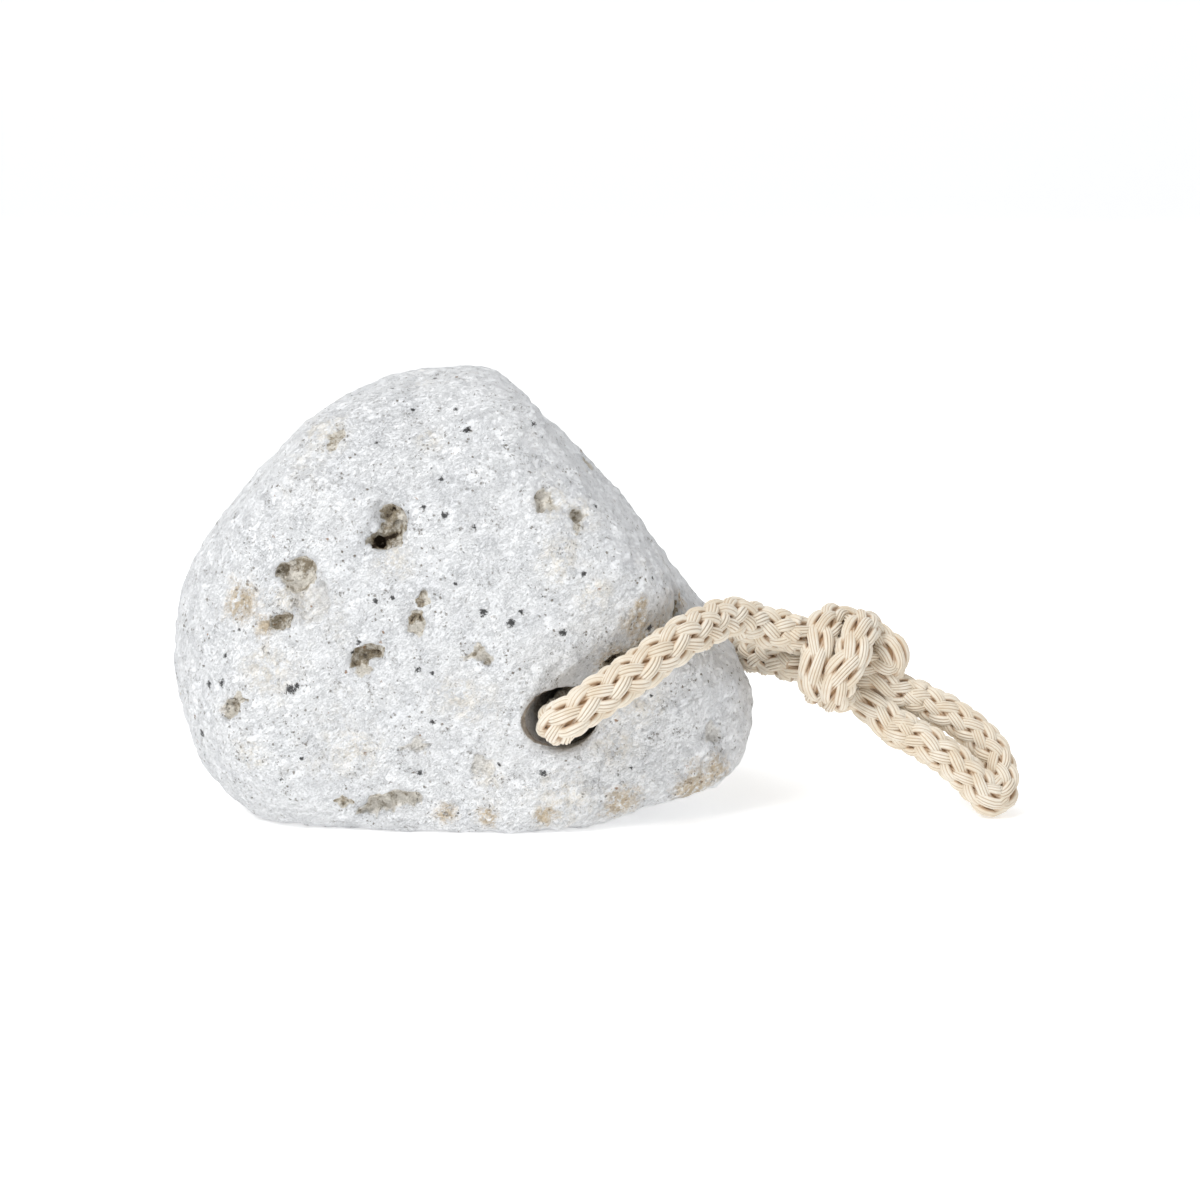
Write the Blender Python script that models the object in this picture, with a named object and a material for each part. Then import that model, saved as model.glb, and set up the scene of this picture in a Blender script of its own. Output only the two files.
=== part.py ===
"""Pumice stone with a drilled hole and a tied loop of braided cotton cord.

Metres, +Z up, the stone's contact face on z = 0 and the stone's box centred on the Z axis.
The stone is one solid: a rounded block of slanting faces with lumps, shallow valleys and broken
pits, drilled right through near its lower right end. The cord is one length of braided cotton
that goes through the hole. Both of its runs are tied together in one knot, and past the knot
they close in a small hanging loop whose end rests on the ground.
"""

import math

import bmesh
import bpy
from mathutils import Matrix, Vector, noise

MM = 0.001

# ---------------------------------------------------------------- the stone's form
CORE = Vector((0.0, 0.0, 32.0)) * MM     # every slanting face is measured from this point
EDGE_CRISPNESS = 20.0                    # exponent that blends the faces: higher is crisper
SPHERE_LEVEL = 5                         # icosphere that the form is pushed out from
KEPT_FACES = 0.70                        # share of its faces, most of them where it bends

# Broad faces: (compass angle from +X towards +Y, angle above level, distance from CORE in mm)
FACES = [
    (0, 2, 44.6),         # end of the nose
    (0, -17, 50.8),
    (0, -40, 52.6),       # nose, turning under
    (2, -60, 43.8),
    (4, -77, 36.6),       # underside of the nose
    (2, 39, 27.1),        # long slope down to the nose
    (322, 22, 34.0),      # edge of the slope
    (16, 62, 35.4),       # crown, right
    (270, 88, 35.7),      # crown
    (176, 66, 35.4),      # crown, left
    (180, 44, 35.5),      # long slope up to the crown
    (181, 21, 41.4),      # left shoulder
    (183, -5, 44.8),      # left end
    (182, -30, 47.6),     # left end, turning under
    (184, -50, 47.4),
    (180, -66, 43.4),
    (268, 5, 24.5),       # broad front
    (268, -14, 26.0),     # broad front, lower half
    (236, 6, 33.5),       # front, towards the left end
    (214, 4, 41.5),
    (292, -8, 28.5),      # front of the nose
    (322, -10, 40.0),
    (264, 42, 30.5),      # front, towards the crown
    (262, -48, 36.0),     # front, turning under
    (226, -34, 42.0),     # front, left, turning under
    (318, -40, 46.5),     # front of the nose, turning under
    (92, 10, 22.2),       # back
    (128, 12, 34.0),      # back, towards the left end
    (55, -4, 34.0),       # back of the nose
    (95, 45, 28.0),       # back, towards the crown
    (88, -36, 29.0),      # back, turning under
    (140, -34, 40.0),     # back, left, turning under
    (45, -40, 42.0),      # back of the nose, turning under
]

# Lumps: (size across in mm, height in mm)
LUMPS = [(26.0, 1.3), (11.0, 0.8), (5.0, 0.35)]
LUMP_SHIFT = Vector((7.3, 1.9, 4.1))     # from one size's noise to the next, so that they differ

# Valleys: (depth in mm, width in mm, points along it in mm)
VALLEYS = [
    (2.8, 4.6, [(21, -22, 21), (27, -20, 25), (32, -17, 29), (37, -11, 31), (39, -2, 30)]),
    (1.6, 3.4, [(13, -17, 60), (16, -20, 53), (20, -21, 46)]),
    (1.2, 5.0, [(-30, 14, 44), (-12, 21, 36), (8, 23, 40)]),
]

# Swellings, and hollows where the height is below zero: (height in mm, width in mm, middle in mm)
SWELLINGS = [
    (2.6, 8.0, (40, -7, 8)),
    (-1.7, 7.0, (26, -13, 0)),
    (0.9, 5.0, (36, 6, 32)),
    (0.9, 7.0, (12, 20, 52)),
    (0.8, 8.0, (-26, -20, 14)),
]

# Broken pits: (compass, rise, width mm, height mm, depth mm, turn about its own axis in degrees)
PITS = [
    (248, 35, 5.2, 5.0, 3.4, 20),      # upper lobe of the deepest pit
    (246, 28, 5.8, 5.4, 4.4, -30),     # its lower lobe
    (224, 13, 7.4, 5.4, 2.6, 0),       # wide shallow pit
    (226, 6, 6.0, 4.6, 1.5, 30),       # broken ground under it
    (221, 1, 4.4, 3.0, 2.2, 10),
    (242, -9, 6.0, 4.4, 2.8, 25),      # oblong pit
    (258, 9, 3.4, 3.6, 2.0, 0),        # cracked pit in two steps
    (257, 3, 3.0, 4.2, 2.0, 10),
    (277, -9, 4.4, 3.0, 1.3, -30),
    (211, -18, 3.6, 4.2, 1.6, 0),      # pit with a glassy crystal
    (243, -51, 9.5, 3.2, 1.8, 0),      # long hollow over the foot
    (227, -47, 3.0, 2.6, 1.4, 0),
    (301, 34, 5.4, 4.6, 1.8, 0),       # two pits by the slope's edge
    (309, 30, 3.4, 5.2, 2.2, 20),
    (343, -25, 3.6, 3.6, 1.6, 0),      # dimple in the nose
    (333, 1, 3.4, 3.6, 2.8, 30),       # dark pits over the cord
    (318, -8, 3.4, 2.8, 2.2, 20),
    (321, 0, 4.6, 6.4, 1.3, -20),      # stained hollow
    (220, 49, 2.6, 4.2, 1.2, -20),
    (281, -45, 4.2, 3.0, 1.0, 0),
    (254, -38, 4.4, 2.2, 0.9, -10),
    (20, 44, 5.0, 3.6, 2.0, 10),       # slope
    (352, 56, 3.4, 3.0, 1.6, 0),
    (75, 22, 6.4, 4.8, 3.0, 20),       # back
    (98, -12, 8.0, 5.0, 2.4, -15),
    (112, 30, 4.2, 5.6, 2.8, 30),
    (128, -6, 5.4, 3.8, 2.2, 0),
    (84, 50, 5.0, 3.4, 1.6, 0),
    (62, -20, 4.0, 3.4, 1.8, 0),
    (104, 8, 3.0, 2.6, 1.6, 0),
    (158, 18, 5.6, 4.0, 2.4, -25),     # left end
    (186, -18, 4.0, 3.2, 1.8, 0),
    (170, 52, 4.4, 3.2, 1.6, 15),
    (8, -22, 3.6, 3.0, 1.6, 0),        # end of the nose
]
PIT_ROUGHNESS = 0.22
PIT_BUMPS = 1.8                          # how many bumps of noise an egg's radius has
PIT_SHIFT = Vector((3.7, 0.4, 1.1))      # from one pit's noise to the next
PIT_LEVEL = 2                            # icosphere of the eggs that break the pits out

# ---------------------------------------------------------------- the drilled hole
HOLE_DIAMETER = 9.6 * MM
HOLE_MOUTH = Vector((14.6, -22.3, 18.0)) * MM
HOLE_COMPASS = 76.0          # degrees: the drill ran from the front to the back, towards the nose
HOLE_RISE = 2.0
HOLE_LENGTH = 80.0 * MM
HOLE_SIDES = 40

# ---------------------------------------------------------------- the cord
CORD_DIAMETER = 6.0 * MM
LOOP_DIAMETER = 5.4 * MM     # the loop's braid is pulled a little thinner
CLEARANCE = 0.3 * MM         # between the knot and the runs that leave it
CURVE_STEPS = 20             # of the smooth curve between two points of a route
POINT_SPACING = 2.4 * MM     # along the solid cords
CORD_RESOLUTION = 2          # of a cord's round section, which gives it eight sides

# Middle of the cord from the knot, over the nose, through the hole and back to the knot (mm)
THROUGH_ROUTE = [
    (50.1, -3.0, 27.3),      # out of the knot's front side
    (47.7, -3.5, 28.0),
    (45.1, -4.5, 28.8),
    (42.6, -6.0, 30.0),
    (40.3, -8.5, 30.9),      # over the top of the nose
    (38.1, -11.5, 30.9),
    (36.1, -15.0, 30.6),
    (34.1, -18.2, 30.3),
    (32.0, -20.8, 29.6),
    (29.6, -22.8, 28.1),     # down the valley in front
    (27.1, -24.4, 26.5),
    (24.5, -25.6, 25.0),
    (21.7, -26.8, 23.3),
    (18.6, -27.6, 21.4),
    (16.2, -27.3, 19.6),     # round the edge of the mouth
    (14.7, -25.0, 18.2),
    (15.1, -21.0, 18.0),
    (17.2, -12.0, 18.3),     # along the hole
    (20.0, -1.0, 18.7),
    (22.7, 10.0, 19.1),
    (25.0, 19.5, 19.5),
    (26.6, 23.8, 19.9),      # out of the back
    (29.6, 26.4, 20.2),
    (33.2, 26.0, 20.5),
    (36.6, 23.2, 20.8),
    (39.6, 19.8, 21.2),
    (42.2, 15.4, 21.5),
    (44.3, 11.4, 21.8),
    (46.0, 7.6, 22.2),
    (47.6, 4.4, 22.6),
    (49.2, 1.8, 22.6),
    (51.1, 0.0, 22.3),       # into the knot's back side
]

# Middle of the hanging loop, from the knot, round the end on the ground and back (mm)
LOOP_ROUTE = [
    (66.7, 0.5, 17.5),
    (69.5, 0.5, 16.5),
    (72.5, 0.0, 15.1),
    (75.6, -0.6, 13.4),
    (78.4, -1.4, 11.2),
    (80.4, -2.6, 8.7),
    (81.2, -4.2, 6.2),
    (81.2, -5.8, 4.2),
    (80.3, -7.0, 2.9),
    (78.5, -7.2, 3.9),
    (76.0, -6.4, 6.5),
    (73.3, -5.4, 8.7),
    (70.5, -4.4, 10.5),
    (67.6, -3.2, 11.9),
    (64.7, -2.5, 13.5),
]

# The knot, measured from its middle (mm): each run goes in on the left, is wrapped once
# round the others over the top and down the front, and comes out on the right.
KNOT_MIDDLE = Vector((58.7, -1.0, 22.9)) * MM
KNOT_DIAMETER = 5.4 * MM
KNOT_HEART_DIAMETER = 9.0 * MM
KNOT_HEART_LEVEL = 3         # icosphere of the ball that fills the knot's middle
KNOT_GRAIN = 1.3 * MM
TRIM_DIAMETER = 1.5 * KNOT_DIAMETER      # of the discs that trim the knot's ends square
TRIM_LENGTH = 2 * KNOT_DIAMETER
TRIM_SIDES = 24
KNOT_RUNS = [
    [(-8.6, -2.0, 4.4), (-5.2, -0.6, 3.0), (-1.5, 0.8, 0.8), (2.2, 1.0, -0.6), (5.8, 1.0, -1.2),
     (6.0, 1.4, 1.0), (3.8, 3.2, 2.6), (0.6, 3.6, 4.4), (-2.8, 1.4, 5.6), (-4.4, -1.8, 4.6),
     (-5.2, -4.2, 1.4), (-5.4, -4.0, -1.8), (-4.6, -1.6, -4.0), (-2.4, 1.6, -4.6),
     (0.4, 2.6, -3.2), (3.0, 0.8, -3.0), (5.4, 0.6, -4.4), (8.0, 1.5, -5.4)],
    [(-7.6, 1.0, -0.6), (-4.5, 1.6, -0.8), (-1.0, 2.2, -1.6), (2.5, 2.6, -1.8), (5.2, 4.4, -1.0),
     (5.2, 5.0, 0.8), (3.4, 4.4, 2.8), (2.0, 1.4, 4.8), (1.0, -2.4, 4.6), (-0.2, -5.0, 1.6),
     (-1.8, -5.6, -1.2), (-2.8, -3.8, -4.0), (-1.8, -0.4, -5.2), (0.6, 1.0, -5.0),
     (2.8, -0.4, -6.4), (6.0, -1.5, -9.4)],
]

STONE_COLOUR = (0.80, 0.80, 0.79, 1.0)
STONE_ROUGHNESS = 0.95
CORD_COLOUR = (0.80, 0.71, 0.57, 1.0)
CORD_ROUGHNESS = 0.9


def facing(compass, rise):
    """Unit vector for a compass angle from +X towards +Y and an angle above level, in degrees."""
    level = math.cos(math.radians(rise))
    return Vector((level * math.cos(math.radians(compass)),
                   level * math.sin(math.radians(compass)),
                   math.sin(math.radians(rise))))


FACE_PLANES = [(facing(compass, rise), distance * MM) for compass, rise, distance in FACES]


def block_radius(direction):
    """Distance from the core to the rounded block of faces, along a unit direction."""
    total = 0.0
    for normal, distance in FACE_PLANES:
        lean = direction.dot(normal) / distance
        if lean > 0:
            total += lean ** EDGE_CRISPNESS
    return total ** (-1.0 / EDGE_CRISPNESS)


def block_normal(direction):
    """Outward normal of the rounded block where a unit direction meets it."""
    total = Vector()
    for normal, distance in FACE_PLANES:
        lean = direction.dot(normal) / distance
        if lean > 0:
            total += normal / distance * lean ** (EDGE_CRISPNESS - 1.0)
    return total.normalized()


def distance_to_route(point, route):
    """Distance in metres from a point to a chain of straight runs given in mm."""
    nearest = math.inf
    for start, end in zip(route, route[1:]):
        first = Vector(start) * MM
        run = Vector(end) * MM - first
        along = max(0.0, min(1.0, (point - first).dot(run) / run.length_squared))
        nearest = min(nearest, (point - first - run * along).length)
    return nearest


def relief(point):
    """How far the surface stands out from the block at a point: lumps, valleys and swellings."""
    height = 0.0
    for number, (size, lump) in enumerate(LUMPS):
        height += lump * MM * noise.noise(point / (size * MM) + LUMP_SHIFT * number)
    for depth, width, route in VALLEYS:
        height -= depth * MM * math.exp(-(distance_to_route(point, route) / (width * MM)) ** 2)
    for lift, width, middle in SWELLINGS:
        apart = (point - Vector(middle) * MM).length / (width * MM)
        height += lift * MM * math.exp(-apart ** 2)
    return height


def stone_point(direction):
    """Where a unit direction from the core meets the stone's surface."""
    point = CORE + direction * block_radius(direction)
    point += direction * relief(point)
    if point.z < 0:
        point = CORE + direction * (CORE.z / -direction.z)
        point.z = 0.0
    return point


def new_object(name, mesh, material):
    piece = bpy.data.objects.new(name, mesh)
    bpy.context.collection.objects.link(piece)
    if material:
        mesh.materials.append(material)
    return piece


def new_material(name, colour, roughness):
    material = bpy.data.materials.new(name)
    material.use_nodes = True
    shader = material.node_tree.nodes["Principled BSDF"]
    shader.inputs["Base Color"].default_value = colour
    shader.inputs["Roughness"].default_value = roughness
    shader.inputs["Metallic"].default_value = 0.0
    return material


def cut(piece, cutter):
    """Take the cutter's shape away from the piece, and keep the cutter as a wire guide."""
    cutter.hide_render = True
    cutter.display_type = 'WIRE'
    modifier = piece.modifiers.new("cut " + cutter.name, 'BOOLEAN')
    modifier.operation = 'DIFFERENCE'
    modifier.solver = 'EXACT'
    modifier.object = cutter


def make_pit_cutter(number, compass, rise, width, height, depth, turn):
    """A rough egg, half sunk in the surface, that breaks one pit out of the stone."""
    direction = facing(compass, rise)
    outward = block_normal(direction)
    side = Vector((0, 0, 1)).cross(outward).normalized()
    frame = Matrix((side, outward.cross(side), outward)).transposed().to_4x4()
    place = Matrix.Translation(stone_point(direction)) @ frame
    place = place @ Matrix.Rotation(math.radians(turn), 4, 'Z')
    half_sizes = Vector((width, height, 2 * depth)) * MM / 2
    form = bmesh.new()
    bmesh.ops.create_icosphere(form, subdivisions=PIT_LEVEL, radius=1.0)
    for vertex in form.verts:
        swell = 1 + PIT_ROUGHNESS * noise.noise(vertex.co * PIT_BUMPS + PIT_SHIFT * number)
        vertex.co = place @ (vertex.co * half_sizes * swell)
    mesh = bpy.data.meshes.new("pit")
    form.to_mesh(mesh)
    form.free()
    return new_object("pit_%02d" % number, mesh, None)


def make_drill():
    """A round rod along the drilled hole, longer than the stone is deep."""
    form = bmesh.new()
    axis = facing(HOLE_COMPASS, HOLE_RISE)
    place = Matrix.Translation(HOLE_MOUTH) @ axis.to_track_quat('Z', 'Y').to_matrix().to_4x4()
    bmesh.ops.create_cone(form, segments=HOLE_SIDES, cap_ends=True, radius1=HOLE_DIAMETER / 2,
                          radius2=HOLE_DIAMETER / 2, depth=2 * HOLE_LENGTH, matrix=place)
    mesh = bpy.data.meshes.new("drill")
    form.to_mesh(mesh)
    form.free()
    return new_object("drill", mesh, None)


def make_stone():
    """The block of faces with its lumps and valleys, its broken pits and its drilled hole."""
    form = bmesh.new()
    bmesh.ops.create_icosphere(form, subdivisions=SPHERE_LEVEL, radius=1.0)
    for vertex in form.verts:
        vertex.co = stone_point(vertex.co.normalized())
    mesh = bpy.data.meshes.new("pumice_stone")
    form.to_mesh(mesh)
    form.free()
    mesh.shade_smooth()
    stone = new_object("pumice_stone", mesh, new_material("pumice", STONE_COLOUR, STONE_ROUGHNESS))
    fewer_faces = stone.modifiers.new("fewer faces where it is flat", 'DECIMATE')
    fewer_faces.ratio = KEPT_FACES
    for number, pit in enumerate(PITS):
        cut(stone, make_pit_cutter(number, *pit))
    cut(stone, make_drill())
    return stone


def smooth_route(points, spacing):
    """Evenly spaced points on the smooth curve through points given in mm."""
    points = [Vector(point) * MM for point in points]
    points = [2 * points[0] - points[1]] + points + [2 * points[-1] - points[-2]]
    fine = []
    for before, start, end, after in zip(points, points[1:], points[2:], points[3:]):
        for step in range(CURVE_STEPS):
            t = step / CURVE_STEPS
            fine.append(0.5 * (2 * start + (end - before) * t
                               + (2 * before - 5 * start + 4 * end - after) * t ** 2
                               + (3 * start - before - 3 * end + after) * t ** 3))
    fine.append(points[-2])
    travelled = [0.0]
    for start, end in zip(fine, fine[1:]):
        travelled.append(travelled[-1] + (end - start).length)
    count = max(2, round(travelled[-1] / spacing))
    even = []
    place = 0
    for number in range(count + 1):
        goal = travelled[-1] * number / count
        while place < len(fine) - 2 and travelled[place + 1] < goal:
            place += 1
        share = (goal - travelled[place]) / (travelled[place + 1] - travelled[place])
        even.append(fine[place].lerp(fine[place + 1], min(1.0, share)))
    return even


def make_tube(name, route, diameter, material):
    """A round cord along a smooth route, with flat ends."""
    curve = bpy.data.curves.new(name, 'CURVE')
    curve.dimensions = '3D'
    curve.bevel_depth = diameter / 2
    curve.bevel_resolution = CORD_RESOLUTION
    curve.use_fill_caps = True
    points = smooth_route(route, POINT_SPACING)
    spline = curve.splines.new('POLY')
    spline.points.add(len(points) - 1)
    for spline_point, point in zip(spline.points, points):
        spline_point.co = (*point, 1.0)
    return new_object(name, curve, material)


def make_end_cutter(name, point, towards):
    """A short disc that trims a run of the knot square, just short of the run that goes on."""
    form = bmesh.new()
    axis = (towards - point).normalized()
    middle = point + axis * (TRIM_LENGTH / 2 - CLEARANCE)
    place = Matrix.Translation(middle) @ axis.to_track_quat('Z', 'Y').to_matrix().to_4x4()
    bmesh.ops.create_cone(form, segments=TRIM_SIDES, cap_ends=True, radius1=TRIM_DIAMETER / 2,
                          radius2=TRIM_DIAMETER / 2, depth=TRIM_LENGTH, matrix=place)
    mesh = bpy.data.meshes.new(name)
    form.to_mesh(mesh)
    form.free()
    return new_object(name, mesh, None)


def make_knot(material):
    """Both runs of the knot drawn together round its heart, as one solid."""
    form = bmesh.new()
    bmesh.ops.create_icosphere(form, subdivisions=KNOT_HEART_LEVEL,
                               radius=KNOT_HEART_DIAMETER / 2,
                               matrix=Matrix.Translation(KNOT_MIDDLE))
    for number, run in enumerate(KNOT_RUNS):
        route = [tuple(Vector(point) + KNOT_MIDDLE / MM) for point in run]
        guide = make_tube("knot_run_%d" % number, route, KNOT_DIAMETER, None)
        tube = bpy.data.meshes.new_from_object(guide)
        form.from_mesh(tube)
        guide.hide_render = True
        guide.display_type = 'WIRE'
    mesh = bpy.data.meshes.new("cord_knot")
    form.to_mesh(mesh)
    form.free()
    knot = new_object("cord_knot", mesh, material)
    drawn_together = knot.modifiers.new("drawn together", 'REMESH')
    drawn_together.mode = 'VOXEL'
    drawn_together.voxel_size = KNOT_GRAIN
    drawn_together.use_smooth_shade = True
    ends = [route[:2] for route in (THROUGH_ROUTE, THROUGH_ROUTE[::-1],
                                    LOOP_ROUTE, LOOP_ROUTE[::-1])]
    for number, (end, onward) in enumerate(ends):
        cutter = make_end_cutter("knot_end_%d" % number, Vector(end) * MM, Vector(onward) * MM)
        cut(knot, cutter)
    return knot


def main():
    for old in list(bpy.data.objects):
        bpy.data.objects.remove(old)
    make_stone()
    cotton = new_material("cotton cord", CORD_COLOUR, CORD_ROUGHNESS)
    make_tube("cord_through_stone", THROUGH_ROUTE, CORD_DIAMETER, cotton)
    make_tube("cord_hanging_loop", LOOP_ROUTE, LOOP_DIAMETER, cotton)
    make_knot(cotton)


main()
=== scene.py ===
# %% [markdown]
# # A pumice stone on a tied cotton cord
#
# A pumice stone is frozen volcanic froth: white, light and full of holes. This one is drilled
# near its end, and a braided cotton cord goes through the drilled hole, comes back over the end
# of the stone, and is tied in one knot that leaves a small hanging loop.
#
# The solids of the stone and the cord are already made. This lesson dresses them: it opens those
# solids as a fixed frame, and makes each finished surface in the same place.
# Everything is in metres, with +Z up, and the stone rests on the height zero.

import math

import bmesh
import bpy
import numpy as np
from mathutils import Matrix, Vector, noise
from mathutils.bvhtree import BVHTree


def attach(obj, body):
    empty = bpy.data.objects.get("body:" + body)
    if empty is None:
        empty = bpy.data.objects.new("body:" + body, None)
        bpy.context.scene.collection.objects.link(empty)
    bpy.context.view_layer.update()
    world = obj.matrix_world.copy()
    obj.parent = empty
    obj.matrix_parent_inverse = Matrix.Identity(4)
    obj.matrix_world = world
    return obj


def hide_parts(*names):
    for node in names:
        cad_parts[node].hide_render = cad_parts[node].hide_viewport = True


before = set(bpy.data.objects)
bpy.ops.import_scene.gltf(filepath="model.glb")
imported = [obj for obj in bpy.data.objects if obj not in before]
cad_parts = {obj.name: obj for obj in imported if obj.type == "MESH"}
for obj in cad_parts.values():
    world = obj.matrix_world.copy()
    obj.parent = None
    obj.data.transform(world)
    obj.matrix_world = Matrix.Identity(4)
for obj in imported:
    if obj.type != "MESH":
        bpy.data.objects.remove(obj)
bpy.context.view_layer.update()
MM = 0.001
scene = bpy.context.scene
print("solids:", sorted(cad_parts))

# %% [markdown]
# ## Camera
#
# The stone is small, so the camera stands half a metre away with a long lens, and looks down on
# it by ten degrees. A long lens keeps the shape honest: near and far sides keep nearly the same
# scale. The camera comes first, because the cords are laid out for its view.

# %% Camera
TARGET = Vector((20.8, 0.0, 32.0)) * MM
CAMERA_DISTANCE = 500 * MM
CAMERA_RISE = math.radians(10)
FOCAL_LENGTH = 99.24  # millimetres
SENSOR_WIDTH = 36  # millimetres
NEAREST_SEEN = 10 * MM

camera_offset = Vector((0, -math.cos(CAMERA_RISE), math.sin(CAMERA_RISE))) * CAMERA_DISTANCE
bpy.ops.object.select_all(action='DESELECT')
bpy.ops.object.camera_add(location=TARGET + camera_offset,
                          rotation=(math.pi / 2 - CAMERA_RISE, 0, 0))
camera = bpy.context.object
camera.name = "camera"
camera.data.lens = FOCAL_LENGTH
camera.data.sensor_width = SENSOR_WIDTH
camera.data.clip_start = NEAREST_SEEN
scene.camera = camera
print("camera stands at", [round(value, 4) for value in camera.location])

# %% [markdown]
# ## Where the cord lies
#
# One cord makes everything. It leaves the knot at the front, climbs over the end of the stone,
# runs down a shallow valley to the drilled hole, goes through, and comes back behind the stone
# to the knot. Past the knot the same cord closes in a small loop, whose end rests on the ground.
# The routes are lists of given points, in millimetres, and a smooth curve goes through them.
# The smooth curve matters: straight runs joined by arcs look like bent wire.

# %% Routes of the cord
THROUGH_ROUTE = [
    (50.1, -3.0, 27.3), (47.7, -3.5, 28.0), (45.1, -4.5, 28.8), (42.6, -6.0, 30.0),
    (40.3, -8.5, 30.9), (38.1, -11.5, 30.9), (36.1, -15.0, 30.6), (34.1, -18.2, 30.3),
    (32.0, -20.8, 29.6), (29.6, -22.8, 28.1), (27.1, -24.4, 26.5), (24.5, -25.6, 25.0),
    (21.7, -26.8, 23.3), (18.6, -27.6, 21.4), (16.2, -27.3, 19.6), (14.7, -25.0, 18.2),
    (15.1, -21.0, 18.0), (17.2, -12.0, 18.3), (20.0, -1.0, 18.7), (22.7, 10.0, 19.1),
    (25.0, 19.5, 19.5), (26.6, 23.8, 19.9), (29.6, 26.4, 20.2), (33.2, 26.0, 20.5),
    (36.6, 23.2, 20.8), (39.6, 19.8, 21.2), (42.2, 15.4, 21.5), (44.3, 11.4, 21.8),
    (46.0, 7.6, 22.2), (47.6, 4.4, 22.6), (49.2, 1.8, 22.6), (51.1, 0.0, 22.3),
]
LOOP_ROUTE = [
    (66.7, 0.5, 17.5), (69.5, 0.5, 16.5), (72.5, 0.0, 15.1), (75.6, -0.6, 13.4),
    (78.4, -1.4, 11.2), (80.4, -2.6, 8.7), (81.2, -4.2, 6.2), (81.2, -5.8, 4.2),
    (80.3, -7.0, 2.9), (78.5, -7.2, 3.9), (76.0, -6.4, 6.5), (73.3, -5.4, 8.7),
    (70.5, -4.4, 10.5), (67.6, -3.2, 11.9), (64.7, -2.5, 13.5),
]
KNOT_MIDDLE = Vector((58.7, -1.0, 22.9))
KNOT_RUNS = [
    [(-8.6, -2.0, 4.4), (-5.2, -0.6, 3.0), (-1.5, 0.8, 0.8), (2.2, 1.0, -0.6), (5.8, 1.0, -1.2),
     (6.0, 1.4, 1.0), (3.8, 3.2, 2.6), (0.6, 3.6, 4.4), (-2.8, 1.4, 5.6), (-4.4, -1.8, 4.6),
     (-5.2, -4.2, 1.4), (-5.4, -4.0, -1.8), (-4.6, -1.6, -4.0), (-2.4, 1.6, -4.6),
     (0.4, 2.6, -3.2), (3.0, 0.8, -3.0), (5.4, 0.6, -4.4), (8.0, 1.5, -5.4)],
    [(-7.6, 1.0, -0.6), (-4.5, 1.6, -0.8), (-1.0, 2.2, -1.6), (2.5, 2.6, -1.8), (5.2, 4.4, -1.0),
     (5.2, 5.0, 0.8), (3.4, 4.4, 2.8), (2.0, 1.4, 4.8), (1.0, -2.4, 4.6), (-0.2, -5.0, 1.6),
     (-1.8, -5.6, -1.2), (-2.8, -3.8, -4.0), (-1.8, -0.4, -5.2), (0.6, 1.0, -5.0),
     (2.8, -0.4, -6.4), (6.0, -1.5, -9.4)],
]
KNOT_ROUTES = [[tuple(Vector(point) + KNOT_MIDDLE) for point in run] for run in KNOT_RUNS]

# %% A smooth, evenly spaced line through a route
CURVE_STEPS = 20  # between two points of a route


def read_at(places, known, values):
    """Rows of values at some places, between the rows at the known places."""
    return np.stack([np.interp(places, known, column) for column in values.T], axis=1)


def smooth_route(points, spacing):
    """Evenly spaced points, in metres, on the smooth curve through points given in mm."""
    points = [np.array(point) * MM for point in points]
    points = [2 * points[0] - points[1], *points, 2 * points[-1] - points[-2]]
    fine = []
    for before, start, end, after in zip(points, points[1:], points[2:], points[3:]):
        for t in np.arange(CURVE_STEPS) / CURVE_STEPS:
            fine.append(0.5 * (2 * start + (end - before) * t
                               + (2 * before - 5 * start + 4 * end - after) * t ** 2
                               + (3 * start - before - 3 * end + after) * t ** 3))
    fine = np.array([*fine, points[-2]])
    travelled = np.concatenate(([0], np.cumsum(np.linalg.norm(np.diff(fine, axis=0), axis=1))))
    goals = np.linspace(0, travelled[-1], round(travelled[-1] / spacing) + 1)
    return read_at(goals, travelled, fine)


def route_length(line):
    return float(np.linalg.norm(np.diff(line, axis=0), axis=1).sum())


for name, route in (("through the stone", THROUGH_ROUTE), ("hanging loop", LOOP_ROUTE)):
    print("cord", name, "is", round(route_length(smooth_route(route, MM)) / MM, 1), "mm long")

# %% [markdown]
# ## The braid
#
# The cord is a round braid of twelve strands. Six go round it one way and six the other way, and
# each goes over one strand and under the next. Each strand is a flat band of four yarns that lie
# side by side. A braid painted on a tube would have a smooth outline, so every strand is real
# geometry here: a closed band with four ridges, which winds round the middle line and waves out
# and in where it crosses its neighbours.
#
# First a pair of side directions is carried along the middle line, and turned only as far as the
# line bends. A braid that winds from those directions is not twisted by the bends.

# %% Directions carried along a line
LINE_STEP = 0.25 * MM


def unit(vectors):
    return vectors / np.linalg.norm(vectors, axis=-1, keepdims=True)


def carried_sides(line):
    """Two unit vectors across the line at each of its points, turned as little as possible."""
    ahead = unit(np.gradient(line, axis=0))
    side = unit(np.cross(ahead[0], (0.0, 0.0, 1.0)))
    sides = []
    for direction in ahead:
        side = unit(side - direction * side.dot(direction))
        sides.append(side)
    sides = np.array(sides)
    return sides, np.cross(ahead, sides)


# %% The cut through one strand
YARNS = 4
YARN_POINTS = 4  # from one groove to the next
YARN_HEIGHT = 0.13  # of a yarn over its grooves, as a share of the width
YARN_FULLNESS = 0.7  # below 1, a yarn is fuller than a sine wave
CROWN = 0.30  # of the band's middle over its edges, as a share
BELLY = 0.20  # of its underside's middle under the edges, likewise
EDGE_DROP = 0.04  # from the edges of the top to those of the underside
UNDERSIDE = (0.9, 0.5, 0.1)  # where the underside's points are across the band


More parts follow.
